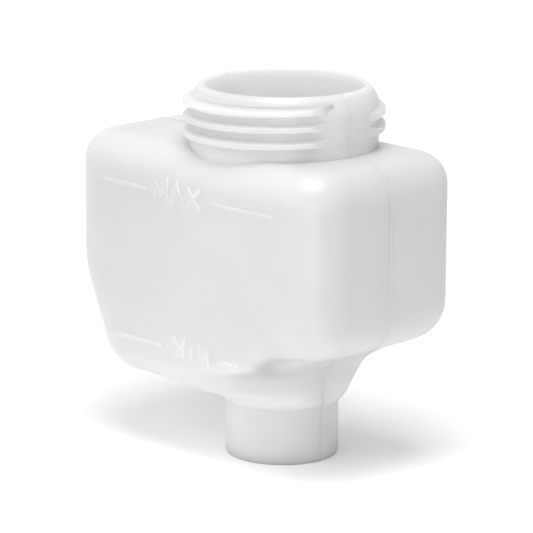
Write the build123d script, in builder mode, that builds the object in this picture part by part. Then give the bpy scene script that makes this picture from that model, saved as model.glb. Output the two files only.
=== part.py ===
from build123d import *
from math import cos, pi, radians, sin, sqrt, tan
import os

os.makedirs("parts", exist_ok=True)

# A blow-moulded plastic bottle that holds brake fluid above a master cylinder.
# The origin is the centre of the spout's lower end, +Z is up, +X points to the
# shallow end of the bottle, and the face with the level marks looks along -Y.

# Wall of the bottle
wall = 2.0

# Body, a box with round edges
body_left = 46.5
body_right = 33.7
half_depth = 23.7
body_top = 70.7
corner_radius = 10.5
top_radius = 7.2

# Left wall, which leans in below a soft bend
lean_height = 38.4
lean_angle = 24.3
lean_radius = 26.0

# Shelf, the underside of the shallow end, and the stretch before it over which
# the lower edges of the front and back grow round
shelf_height = 27.8
shelf_radius = 9.8
blend_start = 13.5
blend_end = 22.8
blend_radius = 0.5

# Sump, the deep part over the spout, with a floor that falls to the spout
sump_height = 15.0
sump_slope = 2.1
sump_radius = 9.0
sump_split = -8.0
sump_right = 13.4
sump_end_radius = 3.0
nose_flat = 5.2
nose_share = 0.5

# Shoulder that runs out from the round end of the sump to the shelf
shoulder_drop = 1.0
shoulder_height = 6.3
shoulder_run = 4.5
shoulder_radius = 4.5
shoulder_rise = 3.0

# Sections along each blend
blend_steps = 12
end_steps = 20

# Spout that pushes into the master cylinder's seal
spout_radius = 12.7
spout_edge_radius = 0.5

# Skirt between the spout and the sump, as steps out from the spout's wall and up
# from the lowest point of the sump's floor
skirt_start = (0, -2.4)
skirt_middle = (1.7, -1.0)
skirt_shoulder = (2.9, 0.8)
skirt_end = (3.5, 2.0)

# Neck, coaxial with the spout
neck_radius = 21.05
neck_wall = 3.25
neck_rise = 13.8
lip_height = 4.4
lip_crown = 0.7
lip_middle = (0.9, 1.9)
lip_inner_radius = 0.6

# Cap thread, right-handed, with flats at the mould's parting plane
thread_pitch = 3.58
thread_turns = 2.5
thread_rise = 2.24
thread_start_angle = 180.0
thread_depth = 1.45
thread_root_width = 2.5
thread_crest_width = 1.1
thread_crest_round = 0.35
thread_flat = 1.1
thread_sink = 0.6

# Level marks, raised on the front face
mark_relief = 0.3
mark_sink = 1.5
mark_width = 0.75
letter_gap = 1.3
max_drop = 9.8
max_letter_size = (4.0, 4.6)
max_letters_left = -16.4
max_dashes = ((-33.8, -19.0), (1.6, 21.4))
min_drop = 2.0
min_letter_size = (2.6, 3.2)
min_letters_left = -9.6
min_dashes = ((-28.8, -14.4), (5.4, 10.4))

# Strokes of each letter in a box one wide and one high
letter_strokes = {
    "M": (((0, 0), (0, 1), (0.5, 0.35), (1, 1), (1, 0)),),
    "A": (((0, 0), (0.5, 1), (1, 0)), ((0.2, 0.35), (0.8, 0.35))),
    "X": (((0, 0), (1, 1)), ((0, 1), (1, 0))),
    "I": (((0.5, 0), (0.5, 1)),),
    "N": (((0, 0), (0, 1), (1, 0), (1, 1)),),
}

# Sizes that follow from those above
nose_radius = half_depth - nose_flat
shoulder_top = shelf_height - shoulder_drop
shoulder_start = shoulder_top - shoulder_height
shoulder_right = blend_start + shoulder_run
spout_bore_radius = spout_radius - wall
neck_top = body_top + neck_rise
mouth_radius = neck_radius - neck_wall
lip_crown_radius = mouth_radius + lip_crown
thread_start_height = body_top + thread_rise
thread_crest_radius = neck_radius + thread_depth
max_height = body_top - max_drop
min_height = shelf_height - min_drop


# Value between two others that leaves and arrives level
def ease(first, last, share):
    return first + (last - first) * (1 - cos(pi * share)) / 2


# Step in from a wall, at a rise above the bottom of the round edge under it
def round_in(rise, radius):
    if rise >= radius:
        return 0.0
    return radius - sqrt(radius**2 - (radius - rise) ** 2)


# Main block, from the left wall to the start of the blend
def main_block(inset):
    lean = radians(lean_angle)
    slope = tan(radians(sump_slope))
    floor_left = sump_height - sump_split * slope + inset
    reach = body_left - (lean_height - floor_left) * tan(lean) + sump_split
    corner_height = floor_left + reach * slope / (1 + tan(lean) * slope)
    corner_left = -body_left + (lean_height - corner_height) * tan(lean) + inset / cos(lean)
    left = -body_left + inset
    top = body_top - inset
    depth = half_depth - inset
    with BuildPart() as block:
        with BuildSketch(Plane.XZ):
            with BuildLine():
                Polyline(
                    (blend_start, top),
                    (left, top),
                    (left, lean_height + inset * tan(lean / 2)),
                    (corner_left, corner_height),
                    (sump_split, floor_left),
                    (sump_split, shelf_height),
                    (blend_start, shelf_height),
                    close=True,
                )
            make_face()
        extrude(amount=depth, both=True)
        across = block.edges().filter_by(Axis.Y)
        bend = across.filter_by(lambda edge: edge.center().X < corner_left - slope)
        fillet(bend.sort_by(Axis.Z)[0], lean_radius - inset)
        along = block.edges().filter_by(lambda edge: abs(edge.center().Y) > depth / 2)
        fillet(along.filter_by(lambda edge: edge.center().X < corner_left), corner_radius - inset)
        above = block.edges().group_by(Axis.Z)[-1]
        fillet(above.filter_by(lambda edge: edge.center().X < blend_start - slope), top_radius - inset)
        low = block.edges().filter_by(lambda edge: edge.center().Z < corner_height + slope)
        fillet(low.filter_by(lambda edge: edge.center().X < sump_split - slope), sump_radius - inset)
    return block.part


# Blend between the main block and the shallow end, as sections along it
def blend_block(inset):
    top = body_top - inset
    bottom = shelf_height + inset
    depth = half_depth - inset
    high = top_radius - inset
    diagonal = sqrt(0.5)
    sections = []
    for place in range(blend_steps + 1):
        share = place / blend_steps
        low = max(ease(blend_radius, shelf_radius, share) - inset, blend_radius)
        high_middle = (depth - high + high * diagonal, top - high + high * diagonal)
        low_middle = (depth - low + low * diagonal, bottom + low - low * diagonal)
        with BuildSketch(Plane.YZ.offset(blend_start + (blend_end - blend_start) * share)) as section:
            with BuildLine():
                Line((0, bottom), (depth - low, bottom))
                ThreePointArc((depth - low, bottom), low_middle, (depth, bottom + low))
                Line((depth, bottom + low), (depth, top - high))
                ThreePointArc((depth, top - high), high_middle, (depth - high, top))
                Line((depth - high, top), (0, top))
                mirror(about=Plane.YZ)
            make_face()
        sections.append(section.sketch)
    return loft(sections=sections, ruled=True)


# Shallow end of the body
def shelf_block(inset):
    right = body_right - inset
    bottom = shelf_height + inset
    with BuildPart() as block:
        with BuildSketch(Plane.XY.offset(bottom)):
            with Locations(((blend_end + right) / 2, 0)):
                Rectangle(right - blend_end, 2 * (half_depth - inset))
        extrude(amount=body_top - inset - bottom)
        fillet(block.edges().filter_by(Axis.Z).group_by(Axis.X)[-1], corner_radius - inset)
        inner = block.faces().sort_by(Axis.X)[0].edges()
        fillet(block.edges().group_by(Axis.Z)[-1] - inner, top_radius - inset)
        inner = block.faces().sort_by(Axis.X)[0].edges()
        fillet(block.edges().group_by(Axis.Z)[0] - inner, shelf_radius - inset)
    return block.part


# Reach of the sump's end and its corner radius, seen from above at a height
def end_plan(height, inset):
    share = min(max((height - shoulder_start) / (shoulder_top - shoulder_start), 0), 1)
    reach = ease(sump_right, shoulder_right, share) - inset
    corner = ease(nose_radius, shoulder_radius, share) - inset
    return reach, corner


# Section of the sump's end, on a plane that follows the slope of the floor
def end_section(height, inset):
    rise = height - sump_height - inset
    edge = sump_radius - inset
    depth = half_depth - inset - round_in(rise, edge)
    reach, corner = end_plan(height, inset)
    right = reach - round_in(rise, sump_end_radius - inset)
    tilt = radians(sump_slope) * (shelf_height - height) / (shelf_height - sump_height)
    level = Plane((0, 0, height), x_dir=(cos(tilt), 0, -sin(tilt)), z_dir=(sin(tilt), 0, cos(tilt)))
    with BuildSketch(level) as outline:
        with BuildLine():
            Polyline(
                (2 * sump_split, -depth),
                (right, -depth),
                (right, depth),
                (2 * sump_split, depth),
                close=True,
            )
        make_face()
        fillet(outline.vertices().group_by(Axis.X)[-1], corner - nose_share * round_in(rise, edge))
    return outline.sketch


# Round end of the sump over the spout, which runs out into the shoulder
def sump_end(inset):
    floor = sump_height + inset
    heights = [ease(floor, shelf_height, place / end_steps) for place in range(end_steps + 1)]
    with BuildPart() as end:
        loft(sections=[end_section(height, inset) for height in heights], ruled=True)
        split(bisect_by=Plane.YZ.offset(sump_split), keep=Keep.TOP)
    return end.part


# Column that carries the shoulder up into the blend
def shoulder_column(inset):
    reach, corner = end_plan(shelf_height, inset)
    start = blend_start - shoulder_radius
    with BuildPart() as column:
        with BuildSketch(Plane.XY.offset(shelf_height)) as plan:
            with Locations(((start + reach) / 2, 0)):
                Rectangle(reach - start, 2 * (half_depth - inset))
            fillet(plan.vertices().group_by(Axis.X)[-1], corner)
        extrude(amount=shoulder_rise + inset)
    return column.part


# Whole form of the body, at an inset from its outer surface
def body_form(inset):
    with BuildPart() as form:
        add(main_block(inset))
        add(blend_block(inset))
        add(shelf_block(inset))
        add(shoulder_column(inset))
        add(sump_end(inset))
    return form.part


# Strokes of a word or of dashes as a flat sketch on the front face
def mark_sketch(word, left, middle, size, dashes):
    face = Plane((0, -half_depth + mark_sink, 0), x_dir=(1, 0, 0), z_dir=(0, -1, 0))
    width, height = size
    with BuildSketch(face) as marks:
        for place, letter in enumerate(word):
            start = left + place * (width + letter_gap)
            for stroke in letter_strokes[letter]:
                with BuildLine():
                    Polyline([(start + x * width, middle + (y - 0.5) * height) for x, y in stroke])
                trace(line_width=mark_width)
        for first, last in dashes:
            with BuildLine():
                Line((first, middle), (last, middle))
            trace(line_width=mark_width)
    return marks.sketch


# Ridge of the cap thread, cut flat where the two halves of the mould meet
def cap_thread():
    root = neck_radius - thread_sink
    reach = thread_crest_radius - root
    base = Helix(thread_pitch, thread_pitch * thread_turns, root, center=(0, 0, thread_start_height))
    helix = base.rotate(Axis.Z, thread_start_angle)
    start = Plane(helix @ 0, x_dir=(-1, 0, 0), z_dir=helix % 0)
    with BuildPart() as ridge:
        with BuildSketch(start) as profile:
            with BuildLine():
                Polyline(
                    (0, -thread_root_width / 2),
                    (reach, -thread_crest_width / 2),
                    (reach, thread_crest_width / 2),
                    (0, thread_root_width / 2),
                    close=True,
                )
            make_face()
            fillet(profile.vertices().group_by(Axis.X)[-1], thread_crest_round)
        sweep(path=helix, is_frenet=True)
        width = 2 * (thread_crest_radius + thread_pitch)
        with Locations((0, 0, neck_top)):
            Box(2 * (neck_radius - thread_flat), width, width, mode=Mode.INTERSECT)
    return ridge.part


# Skirt that swells from the spout into the sump, kept inside the sump's outline
def spout_skirt():
    rise = skirt_end[1]
    depth = half_depth - round_in(rise, sump_radius)
    right = sump_right - round_in(rise, sump_end_radius)
    steps = (skirt_start, skirt_middle, skirt_shoulder, skirt_end)
    start, middle, shoulder, end = [(spout_radius + out, sump_height + up) for out, up in steps]
    with BuildPart() as skirt:
        with BuildSketch(Plane.XZ):
            with BuildLine():
                Line((0, start[1]), start)
                ThreePointArc(start, middle, shoulder)
                Polyline(shoulder, end, (0, end[1]), (0, start[1]))
            make_face()
        revolve(axis=Axis.Z)
        with BuildSketch() as outline:
            with Locations((right - half_depth, 0)):
                Rectangle(2 * half_depth, 2 * depth)
            fillet(outline.vertices().group_by(Axis.X)[-1], nose_radius - nose_share * round_in(rise, sump_radius))
        extrude(amount=end[1], mode=Mode.INTERSECT)
    return skirt.part


outer_body = body_form(0)
fluid_space = body_form(wall)
skirt_form = spout_skirt()
thread_form = cap_thread()
max_marks = mark_sketch("MAX", max_letters_left, max_height, max_letter_size, max_dashes)
min_marks = mark_sketch("MIN", min_letters_left, min_height, min_letter_size, min_dashes)

with BuildPart() as reservoir_body:
    # Body with its neck, spout and skirt
    add(outer_body)
    add(skirt_form)
    with BuildSketch():
        Circle(spout_radius)
    extrude(amount=sump_height)
    with BuildSketch(Plane.XZ):
        with BuildLine():
            Polyline(
                (lip_crown_radius, neck_top),
                (0, neck_top),
                (0, body_top - top_radius),
                (neck_radius, body_top - top_radius),
                (neck_radius, neck_top - lip_height),
            )
            lip_bulge = (neck_radius - lip_middle[0], neck_top - lip_middle[1])
            ThreePointArc((neck_radius, neck_top - lip_height), lip_bulge, (lip_crown_radius, neck_top))
        make_face()
    revolve(axis=Axis.Z)

    # Fluid space, open through the mouth and the spout
    add(fluid_space, mode=Mode.SUBTRACT)
    with BuildSketch(Plane.XY.offset(body_top - top_radius)):
        Circle(mouth_radius)
    extrude(amount=neck_top - body_top + top_radius, mode=Mode.SUBTRACT)
    with BuildSketch():
        Circle(spout_bore_radius)
    extrude(amount=sump_height + sump_radius, mode=Mode.SUBTRACT)

    # Round edges of the lip and of the spout's end
    rings = reservoir_body.edges().filter_by(GeomType.CIRCLE)
    fillet(rings.group_by(Axis.Z)[-1].sort_by(SortBy.RADIUS)[0], lip_inner_radius)
    rings = reservoir_body.edges().filter_by(GeomType.CIRCLE)
    fillet(rings.group_by(Axis.Z)[0].sort_by(SortBy.RADIUS)[-1], spout_edge_radius)

    # Thread ridges and level marks
    add(thread_form)
    extrude(max_marks, amount=mark_sink + mark_relief)
    extrude(min_marks, amount=mark_sink + mark_relief)

reservoir_body.part.label = "reservoir_body"
export_step(reservoir_body.part, "parts/reservoir_body.step")
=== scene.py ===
from math import cos, radians, sin

import bmesh
import bpy
from mathutils import Matrix, Vector
from mathutils.bvhtree import BVHTree


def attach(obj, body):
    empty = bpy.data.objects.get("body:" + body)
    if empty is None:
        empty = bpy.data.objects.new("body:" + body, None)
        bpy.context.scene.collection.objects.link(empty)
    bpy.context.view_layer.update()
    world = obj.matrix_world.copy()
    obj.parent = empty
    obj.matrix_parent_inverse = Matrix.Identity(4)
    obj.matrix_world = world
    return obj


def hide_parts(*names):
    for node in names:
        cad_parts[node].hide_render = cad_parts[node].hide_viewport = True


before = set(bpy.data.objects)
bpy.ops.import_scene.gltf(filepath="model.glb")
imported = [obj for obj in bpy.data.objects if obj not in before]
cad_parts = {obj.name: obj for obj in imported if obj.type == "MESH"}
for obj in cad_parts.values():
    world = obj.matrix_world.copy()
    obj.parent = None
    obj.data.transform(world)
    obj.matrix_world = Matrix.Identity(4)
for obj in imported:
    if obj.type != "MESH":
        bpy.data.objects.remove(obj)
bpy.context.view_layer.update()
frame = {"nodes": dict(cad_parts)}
bottle = frame["nodes"]["reservoir_body"]
print("frame loaded:", ", ".join(frame["nodes"]))


def linkObject(name, data):
    thing = bpy.data.objects.new(name, data)
    bpy.context.scene.collection.objects.link(thing)
    return thing


def newMaterial(name):
    material = bpy.data.materials.new(name)
    material.use_nodes = True
    material.node_tree.nodes.clear()
    return material, material.node_tree


def addNode(tree, kind, place, inputs=None, **values):
    # an input takes either a constant or another node's output
    node = tree.nodes.new(kind)
    node.location = place
    for key, value in values.items():
        setattr(node, key, value)
    for key, value in (inputs or {}).items():
        if isinstance(value, bpy.types.NodeSocket):
            tree.links.new(value, node.inputs[key])
        else:
            node.inputs[key].default_value = value
    return node


def backgroundRays(tree, x, y):
    # 1 for camera, glossy and transmission rays, 0 for the light that falls on things
    rays = addNode(tree, "ShaderNodeLightPath", (x, y)).outputs
    seen = addNode(tree, "ShaderNodeMath", (x + 200, y), {
        0: rays["Is Camera Ray"],
        1: rays["Is Glossy Ray"],
    }, operation="ADD")
    either = addNode(tree, "ShaderNodeMath", (x + 400, y), {
        0: seen.outputs[0],
        1: rays["Is Transmission Ray"],
    }, operation="ADD", use_clamp=True)
    return either.outputs[0]


# camera, where the photograph was taken from
cameraSettings = {
    "azimuth": 46.312,       # degrees round from the marked face towards the shallow end
    "elevation": 13.524,
    "roll": 0.367,
    "distance": 0.784425,
    "shiftRight": -0.003695,
    "shiftUp": 0.007148,
    "aimHeight": 0.035219,
    "focalPixels": 3500.0,
    "framePixels": 533.0,    # width of the frame that the focal length is for
    "sensor": 36.0,
    "nearest": 0.01,
    "farthest": 20.0,
}


def viewAxes(azimuth, elevation, roll):
    a, e, r = radians(azimuth), radians(elevation), radians(roll)
    back = Vector((sin(a) * cos(e), -cos(a) * cos(e), sin(e)))
    right = Vector((cos(a), sin(a), 0.0))
    up = back.cross(right)
    return right * cos(r) + up * sin(r), up * cos(r) - right * sin(r), back, right, up


def makeCamera(s):
    rollRight, rollUp, back, right, up = viewAxes(s["azimuth"], s["elevation"], s["roll"])
    aim = right * s["shiftRight"] + up * s["shiftUp"] + Vector((0, 0, s["aimHeight"]))
    eye = aim + back * s["distance"]
    data = bpy.data.cameras.new("photoCamera")
    data.sensor_width = s["sensor"]
    data.lens = s["sensor"] * s["focalPixels"] / s["framePixels"]
    data.clip_start = s["nearest"]
    data.clip_end = s["farthest"]
    camera = linkObject("photoCamera", data)
    turn = Matrix((rollRight, rollUp, back)).transposed()
    camera.matrix_world = Matrix.Translation(eye) @ turn.to_4x4()
    bpy.context.scene.camera = camera
    print("camera at", tuple(round(c, 4) for c in eye))


makeCamera(cameraSettings)


# lamps and world
lightSettings = {
    "ambient": 0.605,        # grey level that the world gives the bottle
    "darkSide": 0.44,        # how much the world falls off towards the right of the view
    "aimHeight": 0.045,      # point that the lamps look at
    "lamps": {
        # name: (towards the camera, to the right, up, distance, size, power)
        "lowLamp": (1.00, -0.04, -0.01, 0.40, 0.07, 0.27),
        "topLamp": (0.26, 0.00, 1.00, 0.55, 0.34, 2.05),
    },
}


def makeLamps(s):
    right, up, back = viewAxes(cameraSettings["azimuth"], 0.0, 0.0)[:3]
    aim = Vector((0, 0, s["aimHeight"]))
    for name, (towards, across, above, distance, size, power) in s["lamps"].items():
        direction = (back * towards + right * across + up * above).normalized()
        data = bpy.data.lights.new(name, "AREA")
        data.shape = "DISK"
        data.size = size
        data.energy = power
        lamp = linkObject(name, data)
        lamp.location = aim + direction * distance
        lamp.rotation_euler = direction.to_track_quat("Z", "Y").to_euler()
    print("lamps made:", ", ".join(s["lamps"]))


def makeWorld(s):
    right = viewAxes(cameraSettings["azimuth"], 0.0, 0.0)[0]
    world = bpy.data.worlds.new("studio")
    bpy.context.scene.world = world
    world.use_nodes = True
    tree = world.node_tree
    tree.nodes.clear()
    heading = addNode(tree, "ShaderNodeTexCoord", (-600, -300))
    along = addNode(tree, "ShaderNodeVectorMath", (-400, -300), {
        0: heading.outputs["Generated"],
        1: right * -s["darkSide"],
    }, operation="DOT_PRODUCT")
    level = addNode(tree, "ShaderNodeMath", (-200, -300), {
        0: along.outputs["Value"],
        1: s["ambient"],
    }, operation="ADD")
    strength = addNode(tree, "ShaderNodeMapRange", (0, 0), {
        "Value": backgroundRays(tree, -600, 0),
        "To Min": level.outputs[0],
        "To Max": 1.0,
    })
    background = addNode(tree, "ShaderNodeBackground", (200, 0), {
        "Color": (1, 1, 1, 1),
        "Strength": strength.outputs["Result"],
    })
    addNode(tree, "ShaderNodeOutputWorld", (400, 0), {"Surface": background.outputs[0]})
    print("world made")


makeLamps(lightSettings)
makeWorld(lightSettings)


# floor, white with the bottle's soft shadow on it and painted shade round its foot
floorSettings = {
    "size": 3.0,
    "albedo": 0.97,
    "glow": 0.33,            # makes open floor white where it is seen, and lights nothing
    "paintedShadeGlow": 0.06,        # what is left of that glow by the foot: painted shade round it, over the cast shadow
    "paintedShadeReach": 0.05,     # from the middle to where the glow begins to grow, the edge of the painted shade
    "whiteReach": 0.40,      # and to where it is full
}


def paperFloor(s):
    material, tree = newMaterial("paperFloor")
    where = addNode(tree, "ShaderNodeTexCoord", (-1000, 0))
    away = addNode(tree, "ShaderNodeVectorMath", (-800, 0), {
        0: where.outputs["Object"],
    }, operation="LENGTH")
    # glow weaker near the middle: painted shade round the foot
    ramp = addNode(tree, "ShaderNodeMapRange", (-600, 0), {
        "Value": away.outputs["Value"],
        "From Min": s["paintedShadeReach"],
        "From Max": s["whiteReach"],
        "To Min": s["paintedShadeGlow"],
        "To Max": s["glow"],
    }, interpolation_type="SMOOTHSTEP")
    glow = addNode(tree, "ShaderNodeMath", (-400, 200), {
        0: backgroundRays(tree, -1000, 400),
        1: ramp.outputs["Result"],
    }, operation="MULTIPLY")
    emission = addNode(tree, "ShaderNodeEmission", (-200, 200), {"Strength": glow.outputs[0]})
    diffuse = addNode(tree, "ShaderNodeBsdfDiffuse", (-200, 0), {
        "Color": (s["albedo"], s["albedo"], s["albedo"], 1),
    })
    both = addNode(tree, "ShaderNodeAddShader", (0, 0), {
        0: emission.outputs[0],
        1: diffuse.outputs[0],
    })
    addNode(tree, "ShaderNodeOutputMaterial", (200, 0), {"Surface": both.outputs[0]})
    return material


def makeFloor(s):
    mesh = bpy.data.meshes.new("floor")
    work = bmesh.new()
    bmesh.ops.create_grid(work, x_segments=1, y_segments=1, size=s["size"] / 2)
    work.to_mesh(mesh)
    work.free()
    mesh.materials.append(paperFloor(s))
    floor = linkObject("floor", mesh)
    print("floor made")


makeFloor(floorSettings)


# milky plastic of the bottle, in random thick and thin tones, with painted light in the mouth and at
# the foot and painted shade on the neck
plasticSettings = {
    "color": (0.87, 0.875, 0.87, 1),
    "thinColor": (0.79, 0.795, 0.79, 1),    # in the thin clouds of the wall
    "neckShadedColor": (0.64, 0.645, 0.64, 1),    # painted shade on the thicker wall outside the mouth
    "mouthLitColor": (0.985, 0.985, 0.98, 1),  # painted light inside it, lighter where light reaches through the wall
    "footPaintedColor": (0.985, 0.985, 0.98, 1),   # painted light on sump and spout, as from the bright floor below
    "roughness": 0.38,
    "ior": 1.5,
    "scatter": 1.0,          # share of light that goes under the surface
    "depth": 0.012,          # metres that it travels there
}
toneSettings = {
    "neckHeight": 0.0715,    # where the neck's painted shade and the mouth's painted light begin
    "neckFade": 0.002,       # half the width over which it does
    "footHeight": 0.030,     # where the foot's painted tone ends
    "footFade": 0.008,
    "mouthRadius": 0.0192,   # between the mouth's painted light and the neck's painted shade
    "mouthFade": 0.0005,
    "roughnessSpread": 0.06,
    "cloudSize": 0.018,
    "cloudDetail": 2.0,
    "grainSize": 0.0006,
    "grainDetail": 3.0,
    "grainDepth": 0.00002,
    "grainStrength": 0.6,
}


def makeToneGroup(s):
    # clouds, grain and the painted light and shade by place, shared by the bottle's materials
    tree = bpy.data.node_groups.new("milkyTonesAndPaintedLight", "ShaderNodeTree")
    for name in ("Color", "Thin Color", "Foot Painted Color", "Neck Shaded Color", "Mouth Lit Color"):
        tree.interface.new_socket(name, in_out="INPUT", socket_type="NodeSocketColor")
    tree.interface.new_socket("Roughness", in_out="INPUT", socket_type="NodeSocketFloat")
    tree.interface.new_socket("Color", in_out="OUTPUT", socket_type="NodeSocketColor")
    tree.interface.new_socket("Roughness", in_out="OUTPUT", socket_type="NodeSocketFloat")
    tree.interface.new_socket("Normal", in_out="OUTPUT", socket_type="NodeSocketVector")
    given = addNode(tree, "NodeGroupInput", (-1200, -300)).outputs
    where = addNode(tree, "ShaderNodeTexCoord", (-1200, 0)).outputs["Object"]

    cloud = addNode(tree, "ShaderNodeTexNoise", (-900, 200), {
        "Vector": where,
        "Scale": 1 / s["cloudSize"],
        "Detail": s["cloudDetail"],
    })
    cloudTone = addNode(tree, "ShaderNodeMix", (-600, 200), {
        "Factor": cloud.outputs["Fac"],
        "A": given["Thin Color"],
        "B": given["Color"],
    }, data_type="RGBA")

    height = addNode(tree, "ShaderNodeSeparateXYZ", (-900, 500), {"Vector": where})
    # below footHeight the tone is the foot's painted colour: painted light on the bottle, painted
    # shade on the parting line
    isFoot = addNode(tree, "ShaderNodeMapRange", (-700, 900), {
        "Value": height.outputs["Z"],
        "From Min": s["footHeight"] + s["footFade"],
        "From Max": s["footHeight"] - s["footFade"],
    }, interpolation_type="SMOOTHSTEP")
    footPaintedTone = addNode(tree, "ShaderNodeMix", (-400, 400), {
        "Factor": isFoot.outputs["Result"],
        "A": cloudTone.outputs["Result"],
        "B": given["Foot Painted Color"],
    }, data_type="RGBA")

    flat = addNode(tree, "ShaderNodeVectorMath", (-1100, 700), {
        0: where,
        1: (1, 1, 0),
    }, operation="MULTIPLY")
    radius = addNode(tree, "ShaderNodeVectorMath", (-900, 700), {
        0: flat.outputs["Vector"],
    }, operation="LENGTH")
    isOutside = addNode(tree, "ShaderNodeMapRange", (-700, 700), {
        "Value": radius.outputs["Value"],
        "From Min": s["mouthRadius"] - s["mouthFade"],
        "From Max": s["mouthRadius"] + s["mouthFade"],
    })
    # painted light inside the mouth, painted shade on the outside of the neck
    mouthLightNeckShade = addNode(tree, "ShaderNodeMix", (-400, 700), {
        "Factor": isOutside.outputs["Result"],
        "A": given["Mouth Lit Color"],
        "B": given["Neck Shaded Color"],
    }, data_type="RGBA")
    isNeck = addNode(tree, "ShaderNodeMapRange", (-700, 500), {
        "Value": height.outputs["Z"],
        "From Min": s["neckHeight"] - s["neckFade"],
        "From Max": s["neckHeight"] + s["neckFade"],
    }, interpolation_type="SMOOTHSTEP")
    tone = addNode(tree, "ShaderNodeMix", (-200, 500), {
        "Factor": isNeck.outputs["Result"],
        "A": footPaintedTone.outputs["Result"],
        "B": mouthLightNeckShade.outputs["Result"],
    }, data_type="RGBA")

    spread = addNode(tree, "ShaderNodeMapRange", (-600, -50), {
        "Value": cloud.outputs["Fac"],
        "To Min": -s["roughnessSpread"],
        "To Max": s["roughnessSpread"],
    })
    rough = addNode(tree, "ShaderNodeMath", (-200, -50), {
        0: given["Roughness"],
        1: spread.outputs["Result"],
    }, operation="ADD")
    grain = addNode(tree, "ShaderNodeTexNoise", (-900, -200), {
        "Vector": where,
        "Scale": 1 / s["grainSize"],
        "Detail": s["grainDetail"],
    })
    bump = addNode(tree, "ShaderNodeBump", (-600, -300), {
        "Height": grain.outputs["Fac"],
        "Distance": s["grainDepth"],
        "Strength": s["grainStrength"],
    })
    addNode(tree, "NodeGroupOutput", (0, 0), {
        "Color": tone.outputs["Result"],
        "Roughness": rough.outputs[0],
        "Normal": bump.outputs["Normal"],
    })
    return tree


def milkyPlastic(name, s):
    material, tree = newMaterial(name)
    tones = addNode(tree, "ShaderNodeGroup", (-500, 0), {
        "Color": s["color"],
        "Thin Color": s["thinColor"],
        "Foot Painted Color": s["footPaintedColor"],
        "Neck Shaded Color": s["neckShadedColor"],
        "Mouth Lit Color": s["mouthLitColor"],
        "Roughness": s["roughness"],
    }, node_tree=toneGroup).outputs
    shader = addNode(tree, "ShaderNodeBsdfPrincipled", (-200, 0), {
        "Base Color": tones["Color"],
        "Roughness": tones["Roughness"],
        "Normal": tones["Normal"],
        "IOR": s["ior"],
        "Subsurface Weight": s["scatter"],
        "Subsurface Radius": (1.0, 1.0, 1.0),
        "Subsurface Scale": s["depth"],
    })
    addNode(tree, "ShaderNodeOutputMaterial", (200, 0), {"Surface": shader.outputs[0]})
    return material


toneGroup = makeToneGroup(toneSettings)
plastic = milkyPlastic("milkyPlastic", plasticSettings)
for place in bottle.material_slots:
    place.material = plastic
print("plastic made")


# how a point of the outer wall is told from the inner one, by a ray straight out from it
wallSettings = {
    "lift": 0.0001,          # start of the ray over the surface
    "floorSlope": 0.6,       # upward part of the normal that only floors inside have, low down
}


def meetsNothing(tree, vert, reach):
    start = vert.co + vert.normal * wallSettings["lift"]
    return tree.ray_cast(start, vert.normal, reach)[0] is None


# moulded bottle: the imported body, with the creases between sump and shelf blown soft
moldedSettings = {
    "boxes": [               # lowest and highest corners of what is softened
        ((-0.010, -0.02355, 0.0130), (0.030, 0.02355, 0.0335)),   # between the flat faces
        ((0.011, -0.03, 0.0130), (0.031, 0.03, 0.0355)),          # with their corners at the shelf
    ],
    "fade": 0.004,           # width over which the softening grows from a box's sides
    "flat": 0.0236,          # half depth beyond which a face belongs to the front or back
    "flatSlope": 0.999,      # with at least this much of its normal across the bottle
    "levelSlope": 0.99999,   # and with this much it is shaded flat
    "grid": 0.0015,          # spacing of the cuts that let those flat faces bend
    "slack": 0.0001,
    "edge": 0.00075,         # longest edge left in the box before it is softened
    "rounds": 4,             # most times that its edges are halved
    "reach": 0.08,           # of the rays that find the outer wall
    "passes": 64,
    "merge": 0.0000001,
    "digits": 7,             # to which two places are the same
}


def softness(point, s):
    # how far inside the boxes a point lies, from 0 to 1
    reach = max(
        min(min(c - a, b - c) for a, b, c in zip(low, high, point)) for low, high in s["boxes"])
    return max(0.0, min(1.0, reach / s["fade"]))


def triangulate(work):
    bmesh.ops.triangulate(work, faces=[face for face in work.faces if len(face.verts) > 3])


def cutFlats(work, s):
    # a grid in the corners of the flat front and back, where the shelf begins
    low, high = s["boxes"][1]
    for axis in (0, 2):
        normal = [float(n == axis) for n in range(3)]
        place = low[axis]
        while place < high[axis] + s["fade"]:
            isFirst = axis == 0 and place == low[0]     # cuts the corners off the long faces
            corners = [
                face for face in work.faces
                if abs(face.normal.y) > s["flatSlope"]
                and all(abs(vert.co.y) > s["flat"] for vert in face.verts)
                and (isFirst or min(vert.co.x for vert in face.verts) > low[0] - s["slack"])
            ]
            parts = dict.fromkeys(
                part for face in corners for part in (face, *face.edges, *face.verts))
            bmesh.ops.bisect_plane(
                work, geom=list(parts), plane_co=[place * n for n in normal], plane_no=normal)
            place += s["grid"]
    triangulate(work)


def outerPoints(work, s):
    tree = BVHTree.FromBMesh(work)
    found = {}
    for vert in work.verts:
        share = softness(vert.co, s)
        if share > 0 and vert.normal.z < wallSettings["floorSlope"]:
            if meetsNothing(tree, vert, s["reach"]):
                found[vert] = share
    return found


def softenCreases(work, s):
    for _ in range(s["rounds"]):
        wall = outerPoints(work, s)
        edges = dict.fromkeys(edge for vert in wall for edge in vert.link_edges)
        long = [
            edge for edge in edges
            if edge.calc_length() > s["edge"] and all(vert in wall for vert in edge.verts)
        ]
        if not long:
            break
        bmesh.ops.subdivide_edges(work, edges=long, cuts=1)
        triangulate(work)
    wall = outerPoints(work, s)
    for step in range(s["passes"]):
        moving = [vert for vert, share in wall.items() if share * s["passes"] > step]
        bmesh.ops.smooth_vert(
            work, verts=moving, factor=0.5, use_axis_x=True, use_axis_y=True, use_axis_z=True)
    print("creases softened,", len(wall), "points")


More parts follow.
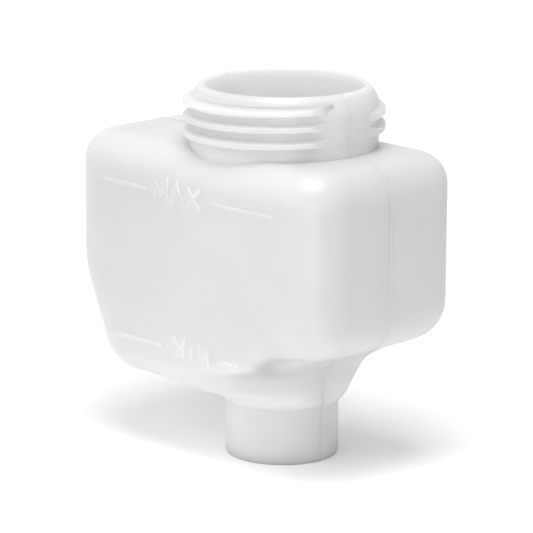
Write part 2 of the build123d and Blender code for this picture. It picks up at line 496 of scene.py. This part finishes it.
def cornerShades(mesh, s):
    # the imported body's own shading, by where each corner lies
    shades = [corner.vector.copy() for corner in mesh.corner_normals]
    kept = {}
    for corner, shade in zip(mesh.loops, shades):
        point = mesh.vertices[corner.vertex_index].co
        kept.setdefault(tuple(round(c, s["digits"]) for c in point), []).append(shade)
    return kept


def shadeLike(mesh, kept, s):
    # corners that stayed where they were keep that shading, and the others are smooth
    places = [tuple(round(c, s["digits"]) for c in vert.co) for vert in mesh.vertices]
    smooth = [vert.normal.copy() for vert in mesh.vertices]
    normals = []
    for face in mesh.polygons:
        face.use_smooth = True
        isLevel = abs(face.normal.y) > s["levelSlope"]
        for index in face.vertices:
            shades = [face.normal.copy()] if isLevel else kept.get(places[index])
            normals.append(max(shades, key=face.normal.dot) if shades else smooth[index])
    mesh.normals_split_custom_set(normals)


def makeMoldedBottle(s):
    kept = cornerShades(bottle.data, s)
    mesh = bottle.data.copy()
    mesh.name = "moldedBottle"
    work = bmesh.new()
    work.from_mesh(mesh)
    bmesh.ops.remove_doubles(work, verts=work.verts, dist=s["merge"])
    cutFlats(work, s)
    softenCreases(work, s)
    work.to_mesh(mesh)
    work.free()
    shadeLike(mesh, kept, s)
    mesh.materials.clear()
    mesh.materials.append(plastic)
    molded = linkObject("moldedBottle", mesh)
    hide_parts("reservoir_body")
    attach(molded, "root")
    print("bottle molded,", len(mesh.polygons), "faces")
    return molded


molded = makeMoldedBottle(moldedSettings)


# parting line, the thin ridge where the two halves of the mould met
partingSettings = {
    "radius": 0.00012,
    "fineness": 2,
    "reach": 0.1,            # of the rays that find the outer wall
    "floorHeight": 0.05,     # below which a floor is one inside the bottle
    "shadedTones": {              # painted shade: tones set lower than the bottle's so the ridge reads dark, and no light goes under it
        "color": (0.70, 0.70, 0.695, 1),
        "thinColor": (0.56, 0.56, 0.555, 1),
        "footPaintedColor": (0.60, 0.60, 0.595, 1),
        "scatter": 0.0,
    },
}


def partingEdges(work, s):
    # the cut through the middle, on the outer wall only
    everything = work.verts[:] + work.edges[:] + work.faces[:]
    cut = bmesh.ops.bisect_plane(
        work, geom=everything, plane_co=(0, 0, 0), plane_no=(0, 1, 0))["geom_cut"]
    work.normal_update()
    tree = BVHTree.FromBMesh(work)
    outer = set()
    for vert in (part for part in cut if isinstance(part, bmesh.types.BMVert)):
        isUp = vert.normal.z > wallSettings["floorSlope"]
        if not (isUp and vert.co.z < s["floorHeight"]) and meetsNothing(tree, vert, s["reach"]):
            outer.add(vert)
    return {
        part for part in cut
        if isinstance(part, bmesh.types.BMEdge) and outer.issuperset(part.verts)
    }


def makePartingLine(s):
    work = bmesh.new()
    work.from_mesh(molded.data)
    line = partingEdges(work, s)
    bmesh.ops.delete(work, geom=work.faces[:], context="FACES_ONLY")
    bmesh.ops.delete(work, geom=[edge for edge in work.edges if edge not in line], context="EDGES")
    bmesh.ops.delete(work, geom=[vert for vert in work.verts if not vert.link_edges], context="VERTS")
    mesh = bpy.data.meshes.new("partingLine")
    work.to_mesh(mesh)
    work.free()

    ridge = linkObject("partingLine", mesh)
    bpy.context.view_layer.objects.active = ridge
    ridge.select_set(True)
    bpy.ops.object.convert(target="CURVE")
    ridge.data.bevel_depth = s["radius"]
    ridge.data.bevel_resolution = s["fineness"]
    ridge.data.use_fill_caps = True
    bpy.ops.object.convert(target="MESH")
    ridge.data.materials.clear()
    # the ridge's material is a darker copy of the plastic: painted shade
    ridge.data.materials.append(milkyPlastic("shadedMoldFlash", {**plasticSettings, **s["shadedTones"]}))
    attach(ridge, "root")
    print("parting line made,", len(ridge.data.polygons), "faces")


makePartingLine(partingSettings)

bpy.context.scene.view_settings.view_transform = "Standard"
